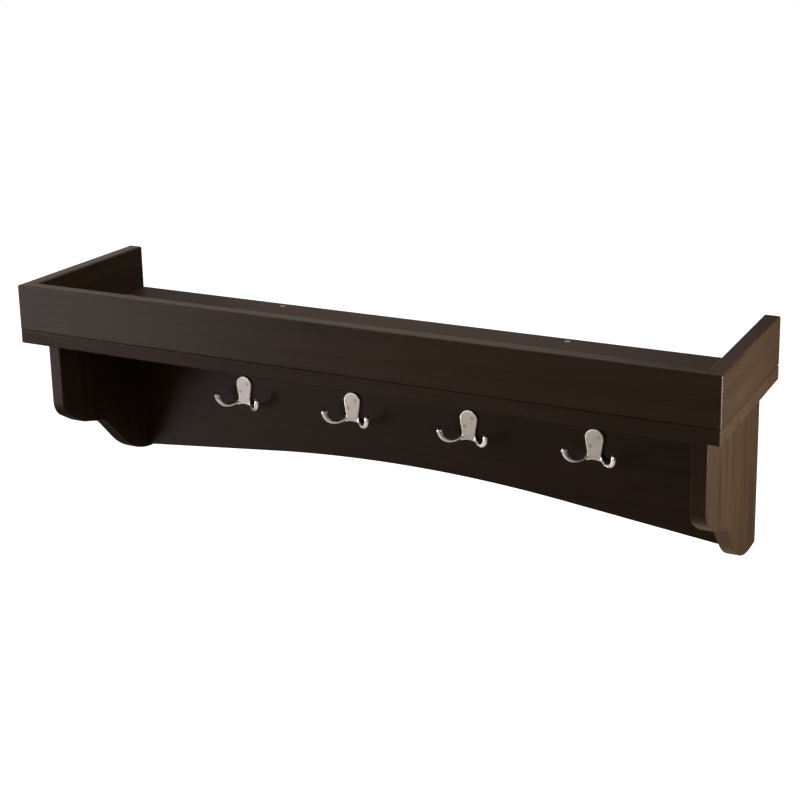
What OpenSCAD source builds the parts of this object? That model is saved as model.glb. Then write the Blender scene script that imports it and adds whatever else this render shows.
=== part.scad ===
// Wall shelf with a tray top and a row of double coat hooks.
// The origin is on the wall plane, midway along the shelf, at the height of the wall screws.
// +X runs to the right along the wall, +Y runs into the wall, and +Z is up.

/* [Shelf] */
// Width over the side rails
shelf_w = 1016; // [960:2:1100]
// Depth from the wall to the front of the tray
shelf_d = 264; // [250:1:290]
// Thickness of the shelf board, brackets and back panel
board_t = 20; // [18:0.5:22]
// Thickness of the tray's rails
rail_t = 21; // [18:0.5:24]
// Height of the tray's rails above the shelf board
rail_h = 65; // [45:1:90]
// Bevel that opens the V-groove between the rails and the shelf board
groove = 2; // [1:0.5:3]
// Radius of the eased edges on the rails and the shelf board
ease_r = 3; // [1:0.5:4]

/* [Brackets] */
// Distance from the shelf's end to the outer face of a bracket
bracket_inset = 23; // [15:1:40]
// Distance from the front of the tray to the front of a bracket
bracket_setback = 30; // [25:1:35]
// Length of a bracket's straight front edge
bracket_front_h = 95; // [80:1:110]

/* [Back panel] */
// Height of the panel at the top of its arch
panel_h = 185.5; // [170:0.5:200]
// Radius of the arch in the panel's lower edge
arch_r = 2174; // [1800:2:3000]
// Half the width of the arch's round part, which runs on as straight lines
arch_half = 230; // [150:5:300]
// Height of the rail that hangs the shelf on the wall
cleat_h = 70; // [60:2:90]
// Thickness of that rail, which is the gap behind the panel
cleat_t = 24; // [20:1:28]

/* [Hooks] */
// Distance between neighbouring hooks
hook_pitch = 185; // [150:5:210]
// Distance from the shelf board down to the top of a hook
hook_drop = 86; // [60:1:100]
// Width of a hook's plate near its round top
plate_w = 26.4; // [24:0.2:30]
// Width of a hook's plate at its neck
neck_w = 19; // [16:0.5:20]
// Diameter of a hook's arms
arm_d = 4.8; // [4:0.2:7]
// Diameter of the ball on the end of an arm
ball_d = 9; // [7:0.5:12]

/* [Wall fixing] */
// Distance between the two wall screws
wall_screw_pitch = 406.4; // [304.8:50.8:609.6]
// Diameter of a keyhole's round end, which takes the head of a wall screw
keyhole_d = 9.5; // [8:0.5:11]
// Diameter of a keyhole's slot, which takes the shank
keyslot_d = 5; // [4:0.5:6]

/* [Hidden] */
hook_count = 4;
HOOKS = [1:hook_count];
$fn = 48;

LACQUER = [0.17, 0.11, 0.09];
BARE_WOOD = [0.80, 0.66, 0.47];
NICKEL = [0.74, 0.72, 0.69];
ZINC = [0.62, 0.63, 0.64];

SIDES = [-1, 1];
FACING_ROOM = [90, 0, 0]; // turns +Z to face the room and +Y to point up
FACING_WALL = [90, 0, 180]; // turns +Z to face the wall and +Y to point up
over = 1; // how far a cutter runs past the face that it cuts

// Faces and centres of the boards
half_w = shelf_w / 2;
board_z = cleat_h / 2;
board_top = board_z + board_t;
panel_y = -cleat_t - board_t;
panel_mid_y = -cleat_t - board_t / 2;
cleat_mid_y = -cleat_t / 2;
bracket_mid = half_w - bracket_inset - board_t / 2;
bracket_in = bracket_mid - board_t / 2;

// Dowels and the holes that they are glued into
dowel_r = 4;
dowel_in_face = 11;
dowel_in_edge = 24;
glue_gap = 1;
rail_dowel_spots = concat(
    [for (x = [-440, -220, 0, 220, 440]) [x, -shelf_d + rail_t / 2]],
    [for (s = SIDES, y = [-190, -60]) [s * (half_w - rail_t / 2), y]]
);
bracket_dowel_spots = [for (s = SIDES, y = [-205, -110]) [s * bracket_mid, y]];
panel_dowel_spots = [for (z = [0, -90]) [panel_mid_y, z]];
cleat_dowel_spots = [for (z = [-20, 20]) [cleat_mid_y, z]];

// Splines across the mitred corners of the tray
spline_t = 4;
spline_w = 14;
spline_h = 46;

// Countersunk wood screws, each [shank radius, length, head radius]
LONG_SCREW = [2, 50, 4];
PANEL_SCREW = [2, 38, 4];
SHORT_SCREW = [1.6, 15, 3.1];
bracket_screw_spots = [for (s = SIDES, y = [-150, -46]) [s * bracket_mid, y]];
shelf_screw_spots = [for (x = [-225, 225]) [x, cleat_mid_y]];
panel_screw_xs = [-340, -110, 110, 340];

// Hooks, whose screws sit one above the other on a slant
plate_t = 3.5;
plate_h = 46;
plate_r = plate_w / 2;
plate_side_h = 24;
plate_taper = atan((plate_w - neck_w) / 2 / plate_side_h);
flare_r = 7;
foot_turn = 45; // degrees that a foot of the plate turns out from straight down
foot_l = 4;
crotch_r = 14;
arm_r = arm_d / 2;
ball_r = ball_d / 2;
arm_root = [7.5, -37, arm_r + 0.2];
arm_splay = 36; // degrees that an arm stands out from the wall
arm_dip = 50; // degrees below level at which an arm leaves the plate
dip_r = 22;
arm_rise = 80; // degrees above level at which an arm ends
rise_r = 17;
arm_end = 2.5; // how far an arm runs on straight before its ball
arm_sides = 12;
hook_screw_spots = [[6, -11], [-5.5, -24]];

// Keyhole plates, in which the wall screws rise from the round end to the end of the slot
key_rise = 10;
key_mid = -key_rise / 2;
key_plate_r = 9;
key_plate_t = 2;
key_plate_reach = 17;
key_screw_reach = 19.5;
pocket_r = 6.5;
pocket_depth = 9;

function dir(heading) = [cos(heading), sin(heading)];

// Where an arc ends that leaves p at a heading, turning left for turn > 0 and right for turn < 0
function arc_point(p, heading, r, turn) =
    p + r * sign(turn) * [sin(heading + turn) - sin(heading), cos(heading) - cos(heading + turn)];

// An arc's points after its first, with up to 6 degrees between them
function arc_points(p, heading, r, turn) =
    let (parts = ceil(abs(turn) / 6))
    [for (k = [1:parts]) arc_point(p, heading, r, turn * k / parts)];

// The points of a path of stretches, each [length, 0] where straight and [radius, turn] where round
function path(p, heading, stretches, i = 0) =
    i == len(stretches) ? [p] :
    let (
        size = stretches[i][0],
        turn = stretches[i][1],
        points = turn == 0 ? [p + size * dir(heading)] : arc_points(p, heading, size, turn),
        last = len(points) - 1
    )
    concat([p], [for (k = [0:1:last - 1]) points[k]], path(points[last], heading + turn, stretches, i + 1));

// One corner of an outline, reached at a heading: square for 0, round for a radius, bevelled for -size
function corner(p, heading, size) =
    size == 0 ? [p] :
    size < 0 ? [p + size * dir(heading), p - size * dir(heading + 90)] :
    let (start = p - size * dir(heading))
    concat([start], arc_points(start, heading, size, 90));

// A w by h rectangle whose corners are as corner() says
module eased_rect(w, h, lower_left = 0, lower_right = 0, upper_right = 0, upper_left = 0) {
    polygon(concat(
        corner([0, 0], 270, lower_left),
        corner([w, 0], 0, lower_right),
        corner([w, h], 90, upper_right),
        corner([0, h], 180, upper_left)
    ));
}

// A slot's outline, with round ends centred at y0 and y1
module slot(r, y0, y1) {
    translate([-r, y0]) square([2 * r, y1 - y0]);
    for (y = [y0, y1]) translate([0, y]) circle(r);
}

// Runs a [y, z] outline along X from x0 to x1
module along_x(x0, x1) {
    translate([x0, 0, 0]) rotate([90, 0, 90]) linear_extrude(x1 - x0) children();
}

// Runs an [x, z] outline along Y from the front of the tray to the wall
module along_y() {
    rotate([90, 0, 0]) linear_extrude(shelf_d) children();
}

module at(spots) {
    for (p = spots) translate(p) children();
}

// A dowel or a hole on the Z axis
module rod(r, z0, z1) {
    translate([0, 0, z0]) cylinder(r = r, h = z1 - z0);
}

// A countersunk cross-head screw that points down, with its head's top at height 0
module screw(size) {
    shank_r = size[0];
    head_h = size[2] - shank_r;
    recess_h = head_h / 2;
    recess_w = shank_r / 2;
    tip_h = 2 * shank_r;
    difference() {
        union() {
            translate([0, 0, -head_h]) cylinder(r1 = shank_r, r2 = size[2], h = head_h);
            rod(shank_r, tip_h - size[1], -head_h);
            translate([0, 0, -size[1]]) cylinder(r1 = shank_r / 8, r2 = shank_r, h = tip_h);
        }
        for (turn = [0, 90]) {
            rotate(turn) translate([-shank_r, -recess_w / 2, -recess_h]) {
                cube([2 * shank_r, recess_w, recess_h + over]);
            }
        }
    }
}

// The countersunk clearance hole for that screw through its first t
module clearance_hole(size, t) {
    clearance = 0.3;
    head_h = size[2] - size[0];
    rod(size[0] + clearance, -t - over, -head_h / 2);
    translate([0, 0, -head_h]) cylinder(r1 = size[0] + clearance, r2 = size[2] + clearance, h = head_h);
    rod(size[2] + clearance, 0, over);
}

// The hole that the rest of that screw, past its first t, cuts its thread in
module pilot_hole(size, t) {
    rod(size[0], -size[1], over - t);
}

// The shelf's plan, with its front corners rounded
module plan() {
    translate([-half_w, -shelf_d]) eased_rect(shelf_w, shelf_d, ease_r, ease_r);
}

// Dowels, or holes for them, across the joints between both brackets and the boards between them
module end_dowels(spots, x0, x1) {
    for (s = SIDES, p = spots) translate([0, p[0], p[1]]) rotate([0, s * 90, 0]) rod(dowel_r, x0, x1);
}

module glued_end_dowels(spots) {
    color(BARE_WOOD) end_dowels(spots, bracket_in - dowel_in_edge, bracket_in + dowel_in_face);
}

module end_dowel_holes(spots) {
    end_dowels(spots, bracket_in - dowel_in_edge - glue_gap, bracket_in + over);
}

module shelf_board() {
    color(LACQUER) difference() {
        translate([0, 0, board_z]) intersection() {
            linear_extrude(board_t) plan();
            along_x(-half_w, half_w) translate([-shelf_d, 0]) {
                eased_rect(shelf_d, board_t, lower_left = ease_r / 2, upper_left = -groove);
            }
            along_y() translate([-half_w, 0]) {
                eased_rect(shelf_w, board_t, ease_r / 2, ease_r / 2, -groove, -groove);
            }
        }
        at(rail_dowel_spots) rod(dowel_r, board_top - dowel_in_face - glue_gap, board_top + over);
        at(bracket_dowel_spots) rod(dowel_r, board_z - over, board_z + dowel_in_face + glue_gap);
        translate([0, 0, board_top]) at(concat(bracket_screw_spots, shelf_screw_spots)) {
            clearance_hole(LONG_SCREW, board_t);
        }
    }
}

// A board that stands on a stretch of the shelf's plan and has its children's section
module tray_rail(stretch) {
    color(LACQUER) difference() {
        translate([0, 0, board_top]) intersection() {
            linear_extrude(rail_h) intersection() {
                plan();
                polygon(stretch);
            }
            children();
        }
        at(rail_dowel_spots) rod(dowel_r, board_top - over, board_top + dowel_in_edge + glue_gap);
        splines(glue_gap);
    }
}

module front_rail() {
    back_y = rail_t - shelf_d;
    inner = half_w - rail_t;
    tray_rail([[-half_w, -shelf_d], [half_w, -shelf_d], [inner, back_y], [-inner, back_y]]) {
        along_x(-half_w, half_w) translate([-shelf_d, 0]) {
            eased_rect(rail_t, rail_h, -groove / 2, 0, ease_r, ease_r);
        }
    }
}

module right_rail() {
    inner = half_w - rail_t;
    tray_rail([[half_w, -shelf_d], [half_w, 0], [inner, 0], [inner, rail_t - shelf_d]]) intersection() {
        along_y() translate([inner, 0]) eased_rect(rail_t, rail_h, 0, -groove / 2, ease_r, ease_r);
        along_x(-half_w, half_w) translate([-shelf_d, 0]) eased_rect(shelf_d, rail_h, upper_right = ease_r);
    }
}

module left_rail() {
    mirror([1, 0, 0]) right_rail();
}

// Both splines, or the grooves for them, across the mitres
module splines(gap = 0) {
    for (s = SIDES) {
        translate([s * (half_w - rail_t / 2), -shelf_d + rail_t / 2, board_top - gap]) rotate(s * 45) {
            translate([-spline_w / 2, -spline_t / 2, 0]) cube([spline_w, spline_t, spline_h + 2 * gap]);
        }
    }
}

module corner_splines() {
    color(BARE_WOOD) splines();
}

module rail_dowels() {
    color(BARE_WOOD) at(rail_dowel_spots) rod(dowel_r, board_top - dowel_in_face, board_top + dowel_in_edge);
}

// A bracket's side: a straight front, a round nose, a shallow cove and a round foot that ends at the wall
function bracket_outline() =
    let (
        front = [bracket_setback - shelf_d, board_z],
        nose = [[30, 58], [22, 0], [60, 16.5]],
        cove = [[30, 0], [46, -32.5], [43, 0]],
        edge = path(front, 270, concat([[bracket_front_h, 0]], nose, cove, [[110, 48]])),
        foot_z = edge[len(edge) - 1][1]
    )
    concat(edge, [[0, foot_z], [0, board_z]]);

module right_bracket() {
    color(LACQUER) difference() {
        along_x(bracket_in, bracket_in + board_t) polygon(bracket_outline());
        at(bracket_dowel_spots) rod(dowel_r, board_z - dowel_in_edge - glue_gap, board_z + over);
        translate([0, 0, board_top]) at(bracket_screw_spots) pilot_hole(LONG_SCREW, board_t);
        end_dowels(
            concat(panel_dowel_spots, cleat_dowel_spots),
            bracket_in - over,
            bracket_in + dowel_in_face + glue_gap
        );
    }
}

module left_bracket() {
    mirror([1, 0, 0]) right_bracket();
}

module bracket_dowels() {
    color(BARE_WOOD) at(bracket_dowel_spots) rod(dowel_r, board_z - dowel_in_edge, board_z + dowel_in_face);
}

module bracket_screws() {
    color(ZINC) translate([0, 0, board_top]) at(bracket_screw_spots) screw(LONG_SCREW);
}

// Height of the panel's lower edge: an arc that runs on as its own tangents
function arch_z(x) =
    let (
        round_x = min(abs(x), arch_half),
        drop = arch_r - sqrt(arch_r ^ 2 - round_x ^ 2),
        slope = arch_half / sqrt(arch_r ^ 2 - arch_half ^ 2)
    )
    board_z - panel_h - drop - slope * (abs(x) - round_x);

function panel_outline() =
    let (xs = concat([-bracket_in], [for (k = [-16:16]) arch_half * k / 16], [bracket_in]))
    concat([for (x = xs) [x, arch_z(x)]], [[bracket_in, board_z], [-bracket_in, board_z]]);

// Places for the screws that hold the panel through the hanging rail
module at_panel_screws() {
    for (x = panel_screw_xs) translate([x, 0, 0]) rotate(FACING_WALL) children();
}

module back_panel() {
    color(LACQUER) difference() {
        translate([0, -cleat_t, 0]) rotate([90, 0, 0]) linear_extrude(board_t) polygon(panel_outline());
        end_dowel_holes(panel_dowel_spots);
        at_panel_screws() pilot_hole(PANEL_SCREW, cleat_t);
        for (i = HOOKS) at_hook_screws(i) pilot_hole(SHORT_SCREW, plate_t);
    }
}

module panel_dowels() {
    glued_end_dowels(panel_dowel_spots);
}

module panel_screws() {
    color(ZINC) at_panel_screws() screw(PANEL_SCREW);
}

// The rail behind the panel that carries the shelf on the wall screws
module hanging_rail() {
    color(BARE_WOOD) difference() {
        translate([-bracket_in, -cleat_t, -cleat_h / 2]) cube([2 * bracket_in, cleat_t, cleat_h]);
        end_dowel_holes(cleat_dowel_spots);
        at_panel_screws() clearance_hole(PANEL_SCREW, cleat_t);
        translate([0, 0, board_top]) at(shelf_screw_spots) pilot_hole(LONG_SCREW, board_t);
        for (s = SIDES) at_keyhole(s) {
            translate([0, 0, -key_plate_t]) linear_extrude(key_plate_t + over) key_plate_outline();
            translate([0, 0, -pocket_depth]) linear_extrude(pocket_depth) slot(pocket_r, -key_rise, 0);
            at_key_screws() pilot_hole(SHORT_SCREW, key_plate_t);
        }
    }
}

module hanging_rail_dowels() {
    glued_end_dowels(cleat_dowel_spots);
}

module shelf_screws() {
    color(ZINC) translate([0, 0, board_top]) at(shelf_screw_spots) screw(LONG_SCREW);
}

// The place of a keyhole plate, with a hung wall screw's axis on Z and the wall at height 0
module at_keyhole(side) {
    translate([side * wall_screw_pitch / 2, 0, 0]) rotate(FACING_WALL) children();
}

module at_key_screws() {
    for (s = SIDES) translate([0, key_mid + s * key_screw_reach, 0]) children();
}

module key_plate_outline() {
    slot(key_plate_r, key_mid - key_plate_reach, key_mid + key_plate_reach);
}

module keyhole_plate(side) {
    color(ZINC) at_keyhole(side) difference() {
        translate([0, 0, -key_plate_t]) linear_extrude(key_plate_t) difference() {
            key_plate_outline();
            translate([0, -key_rise]) circle(d = keyhole_d);
            slot(keyslot_d / 2, -key_rise, 0);
        }
        at_key_screws() clearance_hole(SHORT_SCREW, key_plate_t);
    }
}

module keyhole_screws() {
    color(ZINC) for (s = SIDES) at_keyhole(s) at_key_screws() screw(SHORT_SCREW);
}

// The place of a hook: the top of its plate, on the panel, with +Z out into the room
module at_hook(i) {
    x = (i - (hook_count + 1) / 2) * hook_pitch;
    translate([x, panel_y, board_z - hook_drop]) rotate(FACING_ROOM) children();
}

module at_hook_screws(i) {
    at_hook(i) translate([0, 0, plate_t]) at(hook_screw_spots) children();
}

// The left half of a hook plate's outline: a round top, a tapering side and a foot that flares into the arm
function plate_half() =
    let (flare = [flare_r, -plate_taper - foot_turn])
    path([0, 0], 180, [[plate_r, 90 + plate_taper], [plate_side_h, 0], flare, [foot_l, 0]]);

module hook_plate() {
    left = plate_half();
    right = [for (k = [len(left) - 1:-1:1]) [-left[k][0], left[k][1]]];
    difference() {
        polygon(concat(left, right));
        translate([0, -plate_h - crotch_r]) circle(crotch_r);
    }
}

// An arm's thickness, which swells to the ball over its second half, at a share t of its length
function arm_swell(t) = arm_r + (ball_r - arm_r) * max(0, 2 * t - 1) ^ 1.2;

// The rings of an arm, each [centre, heading, radius]: a domed root, the dip, the rise and a domed end
function arm_rings() =
    let (
        steps = 7,
        low = arc_point([0, 0], -arm_dip, dip_r, arm_dip),
        tip = arc_point(low, 0, rise_r, arm_rise) + arm_end * dir(arm_rise),
        dome = [15:15:75]
    )
    concat(
        [for (a = dome) let (b = 90 - a) [-arm_r * sin(b) * dir(-arm_dip), -arm_dip, arm_r * cos(b)]],
        [for (k = [0:steps]) let (turn = arm_dip * k / steps)
            [arc_point([0, 0], -arm_dip, dip_r, turn), turn - arm_dip, arm_swell(k / steps / 2)]],
        [for (k = [1:steps]) let (turn = arm_rise * k / steps)
            [arc_point(low, 0, rise_r, turn), turn, arm_swell((1 + k / steps) / 2)]],
        [for (a = dome) [tip + ball_r * sin(a) * dir(arm_rise), arm_rise, ball_r * cos(a)]]
    );

// The points of one ring
function ring_points(ring) =
    [for (k = [0:arm_sides - 1])
        let (angle = 360 * k / arm_sides, p = ring[0] + ring[2] * cos(angle) * dir(ring[1] + 90))
        [p[0], p[1], ring[2] * sin(angle)]];

// The arm on the right: it dips away from the plate, rises towards the room and ends in a ball
module hook_arm() {
    rings = arm_rings();
    last = (len(rings) - 1) * arm_sides;
    sides = [for (k = [0:len(rings) - 2], j = [0:arm_sides - 1])
        let (a = k * arm_sides + j, b = k * arm_sides + (j + 1) % arm_sides)
        [a, a + arm_sides, b + arm_sides, b]];
    ends = [[for (j = [0:arm_sides - 1]) j], [for (j = [arm_sides - 1:-1:0]) last + j]];
    translate(arm_root) rotate([0, -arm_splay, 0]) {
        polyhedron([for (ring = rings) each ring_points(ring)], concat(sides, ends));
    }
}

module hook(i) {
    color(NICKEL) difference() {
        at_hook(i) {
            linear_extrude(plate_t) hook_plate();
            for (m = [0, 1]) mirror([m, 0, 0]) hook_arm();
        }
        at_hook_screws(i) clearance_hole(SHORT_SCREW, plate_t);
    }
}

module hook_screws(i) {
    color(NICKEL) at_hook_screws(i) screw(SHORT_SCREW);
}

shelf_board();
front_rail();
left_rail();
right_rail();
corner_splines();
rail_dowels();
left_bracket();
right_bracket();
bracket_dowels();
bracket_screws();
back_panel();
panel_dowels();
panel_screws();
hanging_rail();
hanging_rail_dowels();
shelf_screws();
for (i = HOOKS) {
    hook(i);
    hook_screws(i);
}
keyhole_plate(-1);  // left_keyhole_plate
keyhole_plate(1);  // right_keyhole_plate
keyhole_screws();
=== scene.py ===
"""Looks of a wall coat shelf: eased boards, cast hooks, materials, a studio and a camera.

Everything is in metres in the row frame: +X runs right along the wall, +Y runs into the wall, and +Z is up.
Only the hooks are drawn in millimetres, in a frame of their own.
"""

import math

import bmesh
import bpy
from mathutils import Matrix, Vector


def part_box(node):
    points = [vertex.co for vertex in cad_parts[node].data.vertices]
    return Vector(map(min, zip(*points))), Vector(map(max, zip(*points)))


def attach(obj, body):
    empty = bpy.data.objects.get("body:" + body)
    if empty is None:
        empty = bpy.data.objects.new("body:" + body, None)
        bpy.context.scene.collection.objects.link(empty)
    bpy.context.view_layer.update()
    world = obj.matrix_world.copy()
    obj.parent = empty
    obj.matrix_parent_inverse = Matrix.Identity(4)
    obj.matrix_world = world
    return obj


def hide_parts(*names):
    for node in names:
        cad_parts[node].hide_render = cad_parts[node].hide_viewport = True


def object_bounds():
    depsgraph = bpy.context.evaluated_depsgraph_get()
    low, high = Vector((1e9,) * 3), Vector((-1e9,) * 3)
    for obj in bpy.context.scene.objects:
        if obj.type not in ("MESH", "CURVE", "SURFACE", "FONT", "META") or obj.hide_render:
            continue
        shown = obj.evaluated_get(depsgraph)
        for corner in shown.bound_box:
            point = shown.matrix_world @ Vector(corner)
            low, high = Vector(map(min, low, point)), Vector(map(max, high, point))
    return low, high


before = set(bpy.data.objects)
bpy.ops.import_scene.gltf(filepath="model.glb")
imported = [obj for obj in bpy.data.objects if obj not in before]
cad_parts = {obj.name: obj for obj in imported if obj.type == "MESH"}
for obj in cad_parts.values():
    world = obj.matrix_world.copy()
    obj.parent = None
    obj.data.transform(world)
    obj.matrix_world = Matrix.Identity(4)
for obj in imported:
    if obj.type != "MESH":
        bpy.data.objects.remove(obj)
cad_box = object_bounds()

MM = 0.001
X, Y, Z = range(3)
AXIS_NAMES = "xyz"
HOOKS = range(1, 5)


def add_object(name, data):
    """A new object in the scene."""
    thing = bpy.data.objects.new(name, data)
    bpy.context.scene.collection.objects.link(thing)
    return thing


def as_mesh(bm, name):
    """A new mesh from a bmesh, which is used up."""
    mesh = bpy.data.meshes.new(name)
    bm.to_mesh(mesh)
    bm.free()
    return mesh


# ---------------------------------------------------------------- materials

EVENLY = (1.0, 1.0, 1.0)
WHITE = (1.0, 1.0, 1.0, 1.0)

# The Mix node's sockets for colours, by place, because several share one name
MIX_SHARE, MIX_FIRST, MIX_SECOND, MIX_COLOUR = 0, 6, 7, 2

# Shine and middling roughness of each lacquer, and how far the grain turns its roughness
LACQUERS = {"satin": (0.22, 0.40), "polished": (0.26, 0.34), "matt": (0.18, 0.52)}
UNEVENNESS = 0.05
STAIN_DARK = (0.036, 0.0184, 0.0102, 1)
STAIN_LIGHT = (0.072, 0.0398, 0.0222, 1)
STAIN_IN_PORES = (0.010, 0.005, 0.003, 1)
STAIN_BLOTCH = (0.080, 0.0435, 0.025, 1)
STAIN_RUBBED = (0.13, 0.08, 0.048, 1)
RUBBED_WIDTH = 1.5 * MM
LACQUER_RELIEF = 0.03 * MM

# How the turn of a surface within the rubbed width counts as an edge
EDGE_SAMPLES = 6
EDGE_NONE, EDGE_FULL = 0.99, 0.80

WOOD_DARK = (0.42, 0.26, 0.13, 1)
WOOD_LIGHT = (0.60, 0.42, 0.24, 1)
WOOD_FIBRE = (0.34, 0.20, 0.10, 1)
WOOD_PALE = (0.66, 0.48, 0.29, 1)
WOOD_PORE = (0.20, 0.11, 0.05, 1)
WOOD_RELIEF = 0.05 * MM

NICKEL_DULL = (0.80, 0.75, 0.68)
NICKEL_CLEAR = (0.93, 0.89, 0.83)
NICKEL_SCUFFED = (0.62, 0.57, 0.50)
NICKEL_METALLIC = 0.6
NICKEL_RELIEF = 0.03 * MM
HOOK_BRIGHTNESS = 0.74
# Painted shade: the screws' nickel is a darker copy of the hooks', standing for the shade in their
# countersunk recesses
SCREW_SHADED_BRIGHTNESS = 0.6

ZINC_YELLOWED = (0.62, 0.56, 0.40, 1)
ZINC_CLEAR = (0.74, 0.72, 0.66, 1)
ZINC_SPECK = (0.42, 0.38, 0.28, 1)
ZINC_RELIEF = 0.01 * MM


class Shader:
    """A material under construction: its Principled shader and short ways to add and join nodes."""

    def __init__(self, name):
        self.material = bpy.data.materials.new(name)
        self.material.use_nodes = True
        self.tree = self.material.node_tree
        self.surface = self.tree.nodes["Principled BSDF"]

    def add(self, kind, inputs=None, **settings):
        """A new node with these settings and inputs, where an input is a value or another node's output."""
        node = self.tree.nodes.new("ShaderNode" + kind)
        for name, value in settings.items():
            setattr(node, name, value)
        for name, value in (inputs or {}).items():
            self.set(node, name, value)
        return node

    def set(self, node, name, value):
        """Links an output to a node's input, or sets the input to a value."""
        if isinstance(value, bpy.types.NodeSocket):
            self.tree.links.new(value, node.inputs[name])
        else:
            node.inputs[name].default_value = value

    def finish(self, **inputs):
        """Sets the Principled shader's inputs, named with underscores for spaces, and gives the material."""
        for name, value in inputs.items():
            self.set(self.surface, name.replace("_", " "), value)
        return self.material

    def place(self, scale):
        """Object coordinates, stretched by a scale along each axis."""
        coordinates = self.add("TexCoord").outputs["Object"]
        return self.add("Mapping", {"Vector": coordinates, "Scale": scale}).outputs["Vector"]

    def noise(self, vector, scale, detail, roughness):
        """A noise texture from 0 to 1."""
        inputs = {"Vector": vector, "Scale": scale, "Detail": detail, "Roughness": roughness}
        return self.add("TexNoise", inputs).outputs["Fac"]

    def spread(self, value, low, high, to_low=0.0, to_high=1.0):
        """A value from low to high, mapped to another range and held within it."""
        inputs = {"Value": value, "From Min": low, "From Max": high, "To Min": to_low, "To Max": to_high}
        return self.add("MapRange", inputs).outputs["Result"]

    def math(self, operation, first, second):
        """Two values joined by arithmetic."""
        node = self.add("Math", operation=operation)
        self.set(node, 0, first)
        self.set(node, 1, second)
        return node.outputs[0]

    def mixed(self, first, share_of_first, second):
        """Two values added in shares that make up one."""
        weighed = self.math("MULTIPLY", first, share_of_first)
        return self.math("ADD", weighed, self.math("MULTIPLY", second, 1.0 - share_of_first))

    def blend(self, share, first, second):
        """A colour from first to second by share."""
        node = self.add("Mix", data_type="RGBA")
        self.set(node, MIX_SHARE, share)
        self.set(node, MIX_FIRST, first)
        self.set(node, MIX_SECOND, second)
        return node.outputs[MIX_COLOUR]

    def bump(self, height, distance):
        """Normals of a relief this deep."""
        return self.add("Bump", {"Height": height, "Distance": distance}).outputs["Normal"]

    def edge_mask(self, radius):
        """How far the surface turns within a radius: 0 on flat faces and towards 1 on edges."""
        rounded = self.add("Bevel", {"Radius": radius}, samples=EDGE_SAMPLES).outputs["Normal"]
        flat = self.add("NewGeometry").outputs["Normal"]
        agreement = self.add("VectorMath", {0: rounded, 1: flat}, operation="DOT_PRODUCT").outputs["Value"]
        return self.spread(agreement, EDGE_NONE, EDGE_FULL)


def along_grain(axis, squeeze):
    """Scales that draw a texture out along the grain."""
    return [squeeze if k == axis else 1.0 for k in (X, Y, Z)]


def espresso_lacquer(finish, axis):
    """Dark brown stain under a lacquer of a given finish, with the grain along one axis and rubbed edges."""
    shine, roughness = LACQUERS[finish]
    shader = Shader(f"{finish}_espresso_{AXIS_NAMES[axis]}")
    fibres = shader.noise(shader.place(along_grain(axis, 0.02)), scale=900.0, detail=6.0, roughness=0.6)
    figure = shader.noise(shader.place(along_grain(axis, 0.07)), scale=70.0, detail=3.0, roughness=0.5)
    pores = shader.noise(shader.place(along_grain(axis, 0.03)), scale=2200.0, detail=2.0, roughness=0.4)
    blotches = shader.noise(shader.place(EVENLY), scale=5.0, detail=2.0, roughness=0.5)
    grain = shader.mixed(fibres, 0.45, figure)
    stain = shader.blend(shader.spread(grain, 0.35, 0.65), STAIN_DARK, STAIN_LIGHT)
    stain = shader.blend(shader.spread(pores, 0.62, 0.72, to_high=0.55), stain, STAIN_IN_PORES)
    stain = shader.blend(shader.spread(blotches, 0.3, 0.7, to_high=0.35), stain, STAIN_BLOTCH)
    uneven = shader.spread(fibres, 0.35, 0.75, to_low=0.1, to_high=0.6)
    rubbed = shader.math("MULTIPLY", shader.edge_mask(RUBBED_WIDTH), uneven)
    orange_peel = shader.noise(shader.place(EVENLY), scale=260.0, detail=1.0, roughness=0.5)
    return shader.finish(
        Base_Color=shader.blend(rubbed, stain, STAIN_RUBBED),
        Roughness=shader.spread(grain, 0.3, 0.7, roughness - UNEVENNESS, roughness + UNEVENNESS),
        Normal=shader.bump(shader.mixed(grain, 0.6, orange_peel), LACQUER_RELIEF),
        Specular_IOR_Level=shine,
    )


def bare_wood(axis):
    """Sanded wood left bare, with growth rings, fibres and open pores, and the grain along one axis."""
    shader = Shader(f"bare_wood_{AXIS_NAMES[axis]}")
    clouds = shader.noise(shader.place(along_grain(axis, 0.12)), scale=9.0, detail=2.0, roughness=0.5)
    rings = shader.noise(shader.place(along_grain(axis, 0.03)), scale=120.0, detail=2.0, roughness=0.4)
    fibres = shader.noise(shader.place(along_grain(axis, 0.015)), scale=1100.0, detail=6.0, roughness=0.65)
    pores = shader.noise(shader.place(along_grain(axis, 0.02)), scale=2600.0, detail=1.0, roughness=0.4)
    wood = shader.blend(shader.spread(rings, 0.35, 0.65), WOOD_DARK, WOOD_LIGHT)
    wood = shader.blend(shader.spread(fibres, 0.3, 0.7, to_high=0.4), wood, WOOD_FIBRE)
    wood = shader.blend(shader.spread(clouds, 0.3, 0.7, to_high=0.3), wood, WOOD_PALE)
    wood = shader.blend(shader.spread(pores, 0.64, 0.72, to_high=0.5), wood, WOOD_PORE)
    return shader.finish(
        Base_Color=wood,
        Roughness=shader.spread(fibres, 0.3, 0.7, to_low=0.62, to_high=0.78),
        Normal=shader.bump(fibres, WOOD_RELIEF),
    )


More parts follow.
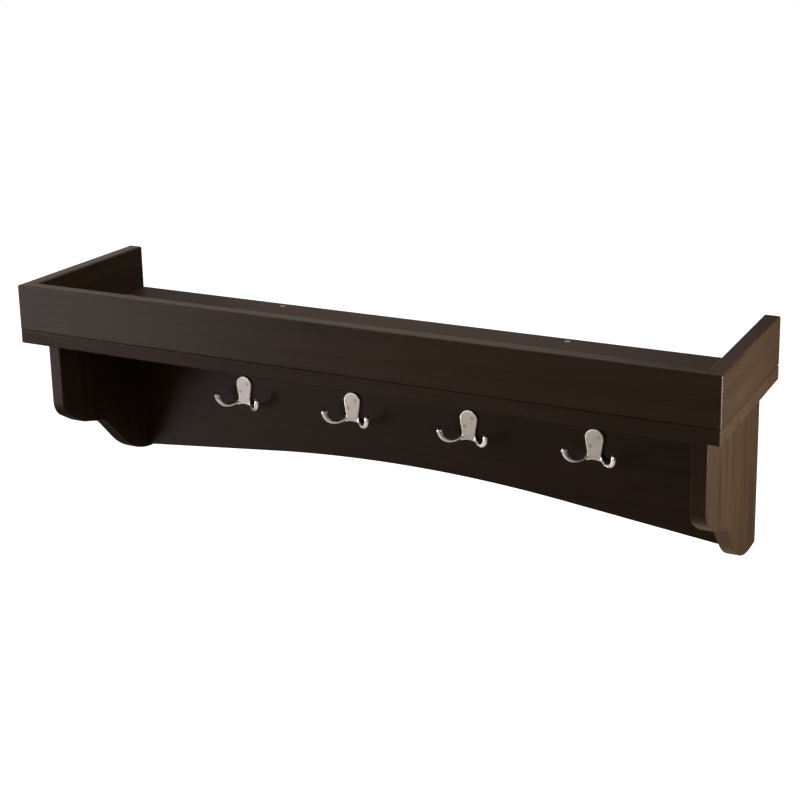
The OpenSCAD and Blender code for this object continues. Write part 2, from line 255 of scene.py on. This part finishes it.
def satin_nickel(name, brightness):
    """Satin nickel plate of a given brightness, with soft pits and fine brushing."""
    shader = Shader(name)
    pits = shader.noise(shader.place(EVENLY), scale=420.0, detail=3.0, roughness=0.5)
    brushing = shader.noise(shader.place(along_grain(Z, 0.06)), scale=3200.0, detail=3.0, roughness=0.6)
    clouds = shader.noise(shader.place(EVENLY), scale=60.0, detail=2.0, roughness=0.5)
    dull, clear, scuffed = (
        (*(brightness * part for part in colour), 1)
        for colour in (NICKEL_DULL, NICKEL_CLEAR, NICKEL_SCUFFED)
    )
    plate = shader.blend(shader.spread(clouds, 0.35, 0.65), dull, clear)
    plate = shader.blend(shader.spread(brushing, 0.35, 0.65, to_high=0.35), plate, scuffed)
    return shader.finish(
        Base_Color=plate,
        Metallic=NICKEL_METALLIC,
        Roughness=shader.spread(brushing, 0.3, 0.7, to_low=0.28, to_high=0.40),
        Normal=shader.bump(shader.mixed(pits, 0.8, brushing), NICKEL_RELIEF),
    )


def zinc_steel():
    """Zinc-plated steel with a faint yellow passivation and a cloudy sheen."""
    shader = Shader("zinc_steel")
    clouds = shader.noise(shader.place(EVENLY), scale=240.0, detail=4.0, roughness=0.6)
    specks = shader.noise(shader.place(EVENLY), scale=1800.0, detail=2.0, roughness=0.5)
    plate = shader.blend(shader.spread(clouds, 0.35, 0.65), ZINC_YELLOWED, ZINC_CLEAR)
    plate = shader.blend(shader.spread(specks, 0.6, 0.7, to_high=0.4), plate, ZINC_SPECK)
    return shader.finish(
        Base_Color=plate,
        Metallic=1.0,
        Roughness=shader.spread(clouds, 0.3, 0.7, to_low=0.28, to_high=0.42),
        Normal=shader.bump(specks, ZINC_RELIEF),
    )


def wear(piece, material):
    """Gives a piece one material all over."""
    piece.data.materials.clear()
    piece.data.materials.append(material)


# ---------------------------------------------------------------- boards

# How the CAD meshes are cleaned before their edges are eased
WELD = 0.002 * MM
FLAT_ANGLE = 0.002
SHARP_ANGLE = math.radians(32)
ON_PLANE = 0.01 * MM

# The part of a face's normal along an axis: over SQUARE_ON if the face looks along it, and under SIDEWAYS if
# the face runs beside it. A mitre's is over MITRED along two axes.
SQUARE_ON, SIDEWAYS = 0.99, 0.01
MITRED = 0.6

# The share of a board's thickness that counts as all of it
RIGHT_THROUGH = 0.9

# How far each kind of edge is eased, and in how many steps
OUTLINE_EASE, OUTLINE_STEPS = 1.8 * MM, 4
ARRIS_EASE, ARRIS_STEPS = 0.4 * MM, 2
LONG_EDGE = 15 * MM
ROUND_PROFILE = 0.5


def node_mesh(name):
    """A CAD node's mesh as a bmesh, welded, with its flat faces whole again."""
    bm = bmesh.new()
    bm.from_mesh(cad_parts[name].data)
    bmesh.ops.remove_doubles(bm, verts=bm.verts, dist=WELD)
    bmesh.ops.dissolve_limit(bm, angle_limit=FLAT_ANGLE, verts=bm.verts, edges=bm.edges)
    return bm


def extent(face, axis):
    """How far a face reaches along an axis."""
    places = [v.co[axis] for v in face.verts]
    return max(places) - min(places)


def on_planes(edge, planes):
    """True if an edge lies in one of these planes, each (axis, value)."""
    return any(all(abs(v.co[axis] - value) < ON_PLANE for v in edge.verts) for axis, value in planes)


def outline_edges(bm, axis, thickness, square):
    """The edges round a board's broad faces, without those in the square planes.

    A side that doesn't reach right through the board is the wall of a blind hole, and stays sharp.
    """
    found = []
    for edge in bm.edges:
        if len(edge.link_faces) != 2 or on_planes(edge, square):
            continue
        broad, side = sorted(edge.link_faces, key=lambda face: -abs(face.normal[axis]))
        is_corner = abs(broad.normal[axis]) > SQUARE_ON and abs(side.normal[axis]) < SIDEWAYS
        if is_corner and extent(side, axis) > RIGHT_THROUGH * thickness:
            found.append(edge)
    return found


def is_mitre(face):
    """True for a face that stands at 45 degrees to both walls of a corner."""
    return min(abs(face.normal.x), abs(face.normal.y)) > MITRED


def arris_edges(bm):
    """A board's long sharp edges, without those of its mitres."""
    return [
        edge
        for edge in bm.edges
        if len(edge.link_faces) == 2
        and edge.calc_length() > LONG_EDGE
        and edge.calc_face_angle() > SHARP_ANGLE
        and not any(is_mitre(face) for face in edge.link_faces)
    ]


def ease(bm, edges, width, steps):
    """Rounds edges off to a width."""
    bmesh.ops.bevel(
        bm,
        geom=edges,
        offset=width,
        offset_type="OFFSET",
        segments=steps,
        profile=ROUND_PROFILE,
        affect="EDGES",
        clamp_overlap=True,
        miter_outer="ARC",
    )


def shade(bm):
    """Shades faces smooth between sharp edges."""
    bm.normal_update()
    for face in bm.faces:
        face.smooth = True
    for edge in bm.edges:
        edge.smooth = len(edge.link_faces) == 2 and edge.calc_face_angle() < SHARP_ANGLE


def as_piece(bm, name):
    """A new object with a bmesh's mesh, whose broad faces keep their own normals."""
    mesh = as_mesh(bm, name)
    if "custom_normal" in mesh.attributes:
        mesh.attributes.remove(mesh.attributes["custom_normal"])
    piece = add_object(name, mesh)
    weighting = piece.modifiers.new("broad_faces_lead", "WEIGHTED_NORMAL")
    weighting.keep_sharp = True
    return piece


def stand_for(piece, node, material):
    """Puts a piece of one material in a CAD node's place."""
    wear(piece, material)
    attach(piece, "root")
    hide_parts(node)


def board(node, material, axis, square):
    """A board whose outline is eased, except in its square planes, where it meets other boards."""
    low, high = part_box(node)
    bm = node_mesh(node)
    ease(bm, outline_edges(bm, axis, high[axis] - low[axis], square), OUTLINE_EASE, OUTLINE_STEPS)
    shade(bm)
    stand_for(as_piece(bm, "eased_" + node), node, material)


def planed_board(node, material):
    """A board whose long sharp edges are taken off."""
    bm = node_mesh(node)
    ease(bm, arris_edges(bm), ARRIS_EASE, ARRIS_STEPS)
    shade(bm)
    stand_for(as_piece(bm, "eased_" + node), node, material)


# One material for each way that the grain runs
satin = {axis: espresso_lacquer("satin", axis) for axis in (X, Z)}
polished = {axis: espresso_lacquer("polished", axis) for axis in (X, Y)}
bare = {axis: bare_wood(axis) for axis in (X, Z)}

board_low, board_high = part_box("shelf_board")
wall = board_high.y
under_board = board_low.z
panel_low, panel_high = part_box("back_panel")

planed_board("shelf_board", espresso_lacquer("matt", X))
planed_board("front_rail", polished[X])
planed_board("hanging_rail", bare[X])
for side in ("left", "right"):
    planed_board(f"{side}_rail", polished[Y])
    board(f"{side}_bracket", satin[Z], X, [(Z, under_board), (Y, wall)])
board("back_panel", satin[X], Y, [(Z, under_board), (X, panel_low.x), (X, panel_high.x)])


# ---------------------------------------------------------------- hooks

# A hook's sizes in millimetres and degrees, in its own frame: the origin is behind the top of its plate, +X
# is right, +Y is up and +Z is out into the room

# The plate, down its left side from the top
PLATE_THICKNESS = 3.5
PLATE_RADIUS = 13.2
PLATE_NECK = 9.5
PLATE_SIDE = 24.0
FLARE_RADIUS, FLARE_TURN = 7.0, 30.0
FOOT = 3.0
CROTCH_RADIUS = 26.0
CROTCH_CENTRE = (0.0, -69.35)
CROTCH_STEPS = 4
RIM_RADIUS, RIM_STEPS = 1.7, 4
ARC_STEP = 6.0

# The arms, from their roots on the plate: a dip outwards, then a rise to the tip
ARM_ROOT = Vector((7.5, -37.0, 2.6))
ARM_SPLAY = 36.0
ARM_DIP, DIP_RADIUS = 50.0, 22.0
ARM_RISE, RISE_RADIUS = 80.0, 17.0
ARM_END = 2.5
ARM_SIDES = 20

# How far an arm is drawn back at its root, and how strongly its first stretch hugs the plate
ARM_ROOT_SUNK, ARM_ROOT_HUG = 1.3, 9.5

# Half the arm's thickness in the plane of its bend and across it
ARM_START_BEND, ARM_START_ACROSS = 2.4, 1.3
ARM_LOW_BEND, ARM_LOW_ACROSS = 2.1, 2.5
ARM_TIP_BEND, ARM_TIP_ACROSS = 4.5, 4.0

# The tip's rounded end: where its rings stand on a quarter circle, its length and how bluntly it narrows
TIP_LEANS = (25.0, 50.0, 75.0)
TIP_LENGTH = 0.75
TIP_BLUNTNESS = 0.6

# The countersunk screw holes, and how far past the plate's face their cutter goes
HOOK_SCREWS = ((6.0, -11.0), (-5.5, -24.0))
SINK_RADIUS, SINK_DEPTH = 3.45, 2.1
CUTTER_RISE, CUTTER_FLARE, CUTTER_SIDES = 1.0, 0.5, 32

# How the parts of a hook are run together
VOXEL = 0.45
FILLET = 2.0
SMOOTHING, SMOOTHING_ROUNDS = 0.5, 4


def direction(angle):
    """A unit vector at an angle in degrees."""
    return Vector((math.cos(math.radians(angle)), math.sin(math.radians(angle))))


def between(low, high, share):
    """The value at a share of the way from one to another."""
    return low + (high - low) * share


def walk(start, heading, moves):
    """Points along a path of moves, each ("run", length) or ("arc", radius, turn), with angles in degrees."""
    place, points = Vector(start), [Vector(start)]
    for kind, size, *turn in moves:
        steps = 1 if kind == "run" else max(1, round(abs(turn[0]) / ARC_STEP))
        for _ in range(steps):
            change = 0.0 if kind == "run" else turn[0] / steps
            length = size if kind == "run" else 2 * size * math.sin(math.radians(abs(change) / 2))
            place = place + length * direction(heading + change / 2)
            heading += change
            points.append(place)
    return points


def plate_outline():
    """The plate's outline: a round top, tapering sides, feet that flare into the arms and an arched crotch.

    The left half is drawn from the top down and then mirrored.
    """
    taper = math.degrees(math.atan((PLATE_RADIUS - PLATE_NECK) / PLATE_SIDE))
    moves = [
        ("arc", PLATE_RADIUS, 90.0 + taper),
        ("run", PLATE_SIDE),
        ("arc", FLARE_RADIUS, -taper - FLARE_TURN),
        ("run", FOOT),
    ]
    left = walk((0.0, 0.0), 180.0, moves)
    widest = math.acos((left[-1].y - CROTCH_CENTRE[1]) / CROTCH_RADIUS)
    arch = [
        Vector(CROTCH_CENTRE) + CROTCH_RADIUS * Vector((-math.sin(angle), math.cos(angle)))
        for angle in (widest * step / CROTCH_STEPS for step in range(CROTCH_STEPS, -1, -1))
    ]
    half = left + arch
    return half + [Vector((-p.x, p.y)) for p in reversed(half[1:-1])]


def add_plate(bm):
    """The plate, with the edge of its front rounded."""
    outline = plate_outline()
    back, front = [[bm.verts.new((p.x, p.y, z)) for p in outline] for z in (0.0, PLATE_THICKNESS)]
    bm.faces.new(back)
    face = bm.faces.new(reversed(front))
    for k in range(len(outline)):
        bm.faces.new((back[k], front[k], front[k - 1], back[k - 1]))
    bm.normal_update()
    ease(bm, list(face.edges), RIM_RADIUS, RIM_STEPS)


def arm_sections():
    """Sections along the right arm.

    Each is a place in the plane of the arm's bend, a heading, half sizes in and across that plane, and how
    far the section is drawn back towards the plate.
    """
    root = walk((0.0, 0.0), -ARM_DIP, [("arc", DIP_RADIUS, ARM_DIP)])
    rise = walk(root[-1], 0.0, [("arc", RISE_RADIUS, ARM_RISE), ("run", ARM_END)])[1:]
    sections = []
    for k, place in enumerate(root):
        share = k / (len(root) - 1)
        bend = between(ARM_START_BEND, ARM_LOW_BEND, share)
        across = between(ARM_START_ACROSS, ARM_LOW_ACROSS, share)
        sunk = (ARM_ROOT_SUNK + ARM_ROOT_HUG * share) * (1 - share) ** 2
        sections.append((place, -ARM_DIP * (1 - share), bend, across, sunk))
    for k, place in enumerate(rise, start=1):
        share = k / len(rise)
        bend = between(ARM_LOW_BEND, ARM_TIP_BEND, share)
        across = between(ARM_LOW_ACROSS, ARM_TIP_ACROSS, share)
        sections.append((place, min(ARM_RISE, ARM_RISE * k / (len(rise) - 1)), bend, across, 0.0))
    tip, heading, bend, across, _ = sections[-1]
    for lean in TIP_LEANS:
        ahead = TIP_LENGTH * bend * math.sin(math.radians(lean)) * direction(heading)
        shrink = math.cos(math.radians(lean)) ** TIP_BLUNTNESS
        sections.append((tip + ahead, heading, bend * shrink, across * shrink, 0.0))
    return sections


def add_arm(bm, side):
    """One arm of a hook, where side is 1 for the right and -1 for the left."""
    splay = math.radians(ARM_SPLAY)
    rings = []
    for place, heading, bend, across, sunk in arm_sections():
        outward = direction(heading + 90.0)
        ring = []
        for k in range(ARM_SIDES):
            turn = 2 * math.pi * k / ARM_SIDES
            flat = place + bend * math.cos(turn) * outward
            aside = across * math.sin(turn)
            x = ARM_ROOT.x + flat.x * math.cos(splay) - aside * math.sin(splay)
            z = ARM_ROOT.z - sunk + flat.x * math.sin(splay) + aside * math.cos(splay)
            ring.append(bm.verts.new((side * x, ARM_ROOT.y + flat.y, z)))
        rings.append(ring)
    faces = [bm.faces.new(rings[0]), bm.faces.new(rings[-1])]
    for first, second in zip(rings, rings[1:]):
        faces += [bm.faces.new((first[k - 1], first[k], second[k], second[k - 1])) for k in range(ARM_SIDES)]
    bmesh.ops.recalc_face_normals(bm, faces=faces)


def countersinks():
    """An object that fills a hook's two countersunk screw holes, to be cut from it."""
    bm = bmesh.new()
    for x, y in HOOK_SCREWS:
        middle = PLATE_THICKNESS - SINK_DEPTH / 2 + CUTTER_RISE / 2
        bmesh.ops.create_cone(
            bm,
            cap_ends=True,
            segments=CUTTER_SIDES,
            radius1=SINK_RADIUS - SINK_DEPTH,
            radius2=SINK_RADIUS + CUTTER_FLARE,
            depth=SINK_DEPTH + CUTTER_RISE,
            matrix=Matrix.Translation((x, y, middle)),
        )
    return add_object("countersinks", as_mesh(bm, "countersinks"))


def modify(thing, kind, **settings):
    """Adds a modifier with these settings."""
    modifier = thing.modifiers.new(kind.lower(), kind)
    for name, value in settings.items():
        setattr(modifier, name, value)


def cast_hook_mesh():
    """The mesh of one hook: plate and arms run together as in a casting, with the screw holes cut.

    The parts are swollen by the fillet, shrunk back and smoothed once more, which fills their inner corners.
    """
    bm = bmesh.new()
    add_plate(bm)
    add_arm(bm, 1)
    add_arm(bm, -1)
    casting = add_object("hook_casting", as_mesh(bm, "hook_parts"))
    for offset in (FILLET, -FILLET, 0.0):
        modify(casting, "REMESH", mode="VOXEL", voxel_size=VOXEL)
        modify(casting, "SMOOTH", factor=SMOOTHING, iterations=SMOOTHING_ROUNDS)
        modify(casting, "DISPLACE", strength=offset, mid_level=0.0)
    cutter = countersinks()
    modify(casting, "BOOLEAN", object=cutter, operation="DIFFERENCE", solver="EXACT")
    cast = casting.evaluated_get(bpy.context.evaluated_depsgraph_get())
    bm = bmesh.new()
    bm.from_mesh(cast.to_mesh())
    cast.to_mesh_clear()
    for vert in bm.verts:
        vert.co.z = max(vert.co.z, 0.0)
    shade(bm)
    mesh = as_mesh(bm, "cast_hook")
    mesh.transform(Matrix.Scale(MM, 4) @ Matrix.Rotation(math.pi / 2, 4, "X"))
    for scratch in (casting, cutter):
        bpy.data.meshes.remove(scratch.data)
    return mesh


hook_mesh = cast_hook_mesh()
hook_mesh.materials.append(satin_nickel("satin_nickel", HOOK_BRIGHTNESS))
for i in HOOKS:
    low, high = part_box(f"hook_{i}")
    hook = add_object(f"cast_hook_{i}", hook_mesh)
    hook.location = ((low.x + high.x) / 2, high.y, high.z)
    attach(hook, "root")
    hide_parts(f"hook_{i}")


# ---------------------------------------------------------------- what stays as the CAD made it

zinc = zinc_steel()
# Painted shade: a darker copy of the nickel for the screws, for the shade in their countersunk recesses
shade_darkened_screw_nickel = satin_nickel("satin_nickel_screws_painted_shade", SCREW_SHADED_BRIGHTNESS)
kept_nodes = {
    "corner_splines": bare[Z],
    "rail_dowels": bare[Z],
    "bracket_dowels": bare[Z],
    "panel_dowels": bare[X],
    "hanging_rail_dowels": bare[X],
    "bracket_screws": zinc,
    "panel_screws": zinc,
    "shelf_screws": zinc,
    "left_keyhole_plate": zinc,
    "right_keyhole_plate": zinc,
    "keyhole_screws": zinc,
}
for i in HOOKS:
    kept_nodes[f"hook_{i}_screws"] = shade_darkened_screw_nickel
for node, material in kept_nodes.items():
    wear(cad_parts[node], material)


# ---------------------------------------------------------------- studio and camera

FLOOR_DROP = 1.2
FLOOR_SIZE = 30.0
FLOOR_CELLS = 2
FLOOR_GREY = (0.97, 0.97, 0.97, 1)
FLOOR_ROUGHNESS = 0.9
FLOOR_GLOW = 1.2

AMBIENT = 0.045
MIDDLE = Vector((0.0, -0.15, 0.0))

# Colours of the lights
NEUTRAL = (1.0, 1.0, 1.0)
WARM = (1.0, 0.94, 0.84)
COOL = (1.0, 0.96, 1.04)
AMBER = (1.0, 0.72, 0.46)
PALE_YELLOW = (0.98, 1.04, 0.93)

# Name, place, size, brightness and colour of each light. A light whose name ends in "sheen" shows only in
# reflections.
STUDIO_LIGHTS = (
    ("top_light", (0.0, -0.3, 1.8), (2.4, 1.4), 0.5, NEUTRAL),
    ("back_light", (0.0, 1.2, 1.6), (2.4, 1.0), 1.2, WARM),
    ("left_light", (-2.6, -2.15, -0.4), (1.9, 2.0), 1.7, COOL),
    ("left_high_light", (-1.7, -0.9, 1.6), (1.2, 1.2), 1.3, NEUTRAL),
    ("left_near_light", (-1.9, -0.3, 0.45), (0.8, 0.5), 38.0, NEUTRAL),
    ("right_near_light", (1.05, -0.2, 0.05), (0.2, 0.4), 27.0, PALE_YELLOW),
    ("low_light", (-0.9, -2.4, -0.9), (2.4, 0.9), 0.42, AMBER),
    ("back_sheen", (-1.8, 2.4, 0.75), (2.6, 0.9), 0.45, WARM),
    ("below_sheen", (0.2, -0.1, -1.6), (3.0, 1.6), 0.7, AMBER),
)

# These reach only the hooks and their screws, whose satin metal needs more light than the dark wood
HOOK_LIGHTS = (
    ("hook_high_sheen", (-1.2, -2.2, 0.45), (2.6, 0.7), 7.0, NEUTRAL),
    ("hook_left_light", (-2.4, -0.4, -0.55), (1.0, 1.0), 22.0, NEUTRAL),
    ("hook_right_sheen", (2.3, -1.5, 0.1), (1.2, 1.6), 3.0, NEUTRAL),
    ("hook_low_sheen", (-0.3, -0.9, -1.6), (2.6, 2.2), 1.0, NEUTRAL),
)

# The camera's lens and sensor are in millimetres
CAMERA_AT = (0.9515, -1.8887, 0.6702)
CAMERA_TURN = math.radians(27.543)
CAMERA_DOWN = math.radians(13.583)
CAMERA_ROLL = math.radians(-1.227)
CAMERA_LENS, CAMERA_SENSOR = 69.545, 36.0
CAMERA_SHIFT = -0.1875
CAMERA_NEAR, CAMERA_FAR = 0.05, 60.0


def make_floor():
    """A plain pale floor well below the shelf, which hangs on a wall."""
    bm = bmesh.new()
    bmesh.ops.create_grid(bm, x_segments=FLOOR_CELLS, y_segments=FLOOR_CELLS, size=FLOOR_SIZE / 2)
    floor = add_object("floor", as_mesh(bm, "floor"))
    floor.location = (0.0, 0.0, cad_box[0].z - FLOOR_DROP)
    shader = Shader("pale_floor")
    mottle = shader.noise(shader.place(EVENLY), scale=3.0, detail=2.0, roughness=0.5)
    material = shader.finish(
        Base_Color=shader.blend(mottle, FLOOR_GREY, WHITE),
        Roughness=FLOOR_ROUGHNESS,
        Emission_Color=WHITE,
        Emission_Strength=FLOOR_GLOW,
    )
    wear(floor, material)
    floor.visible_diffuse = False
    floor.visible_glossy = False


def softbox(name, at, size, radiance, colour):
    """A soft rectangular light of a given brightness, aimed at the shelf and hidden from the camera."""
    data = bpy.data.lights.new(name, "AREA")
    data.shape = "RECTANGLE"
    data.size, data.size_y = size
    data.energy = radiance * math.pi * size[0] * size[1]
    data.color = colour
    light = add_object(name, data)
    light.location = at
    light.rotation_euler = (MIDDLE - Vector(at)).to_track_quat("-Z", "Y").to_euler()
    light.visible_camera = False
    light.visible_diffuse = not name.endswith("sheen")
    return light


def light_hooks_only(light):
    """Keeps a light off everything but the hooks and their screws, as a flag in front of it would."""
    hooks = bpy.data.collections.new(light.name + "_receivers")
    for i in HOOKS:
        hooks.objects.link(bpy.data.objects[f"cast_hook_{i}"])
        hooks.objects.link(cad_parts[f"hook_{i}_screws"])
    light.light_linking.receiver_collection = hooks


def make_world():
    """A white backdrop for the camera, and a dim room for everything else."""
    world = bpy.data.worlds.new("studio")
    world.use_nodes = True
    nodes, links = world.node_tree.nodes, world.node_tree.links
    background = nodes["Background"]
    background.inputs["Color"].default_value = WHITE
    strength = nodes.new("ShaderNodeMapRange")
    strength.inputs["To Min"].default_value = AMBIENT
    strength.inputs["To Max"].default_value = 1.0
    links.new(nodes.new("ShaderNodeLightPath").outputs["Is Camera Ray"], strength.inputs["Value"])
    links.new(strength.outputs["Result"], background.inputs["Strength"])
    bpy.context.scene.world = world


def make_camera():
    """A view from the right and a little above."""
    data = bpy.data.cameras.new("camera")
    data.lens = CAMERA_LENS
    data.sensor_width = CAMERA_SENSOR
    data.shift_y = CAMERA_SHIFT
    data.clip_start, data.clip_end = CAMERA_NEAR, CAMERA_FAR
    camera = add_object("camera", data)
    level = Matrix.Rotation(CAMERA_TURN, 4, "Z") @ Matrix.Rotation(math.pi / 2 - CAMERA_DOWN, 4, "X")
    camera.matrix_world = Matrix.Translation(CAMERA_AT) @ level @ Matrix.Rotation(CAMERA_ROLL, 4, "Z")
    bpy.context.scene.camera = camera


make_floor()
make_world()
for settings in STUDIO_LIGHTS:
    softbox(*settings)
for settings in HOOK_LIGHTS:
    light_hooks_only(softbox(*settings))
make_camera()
bpy.context.scene.view_settings.view_transform = "Standard"
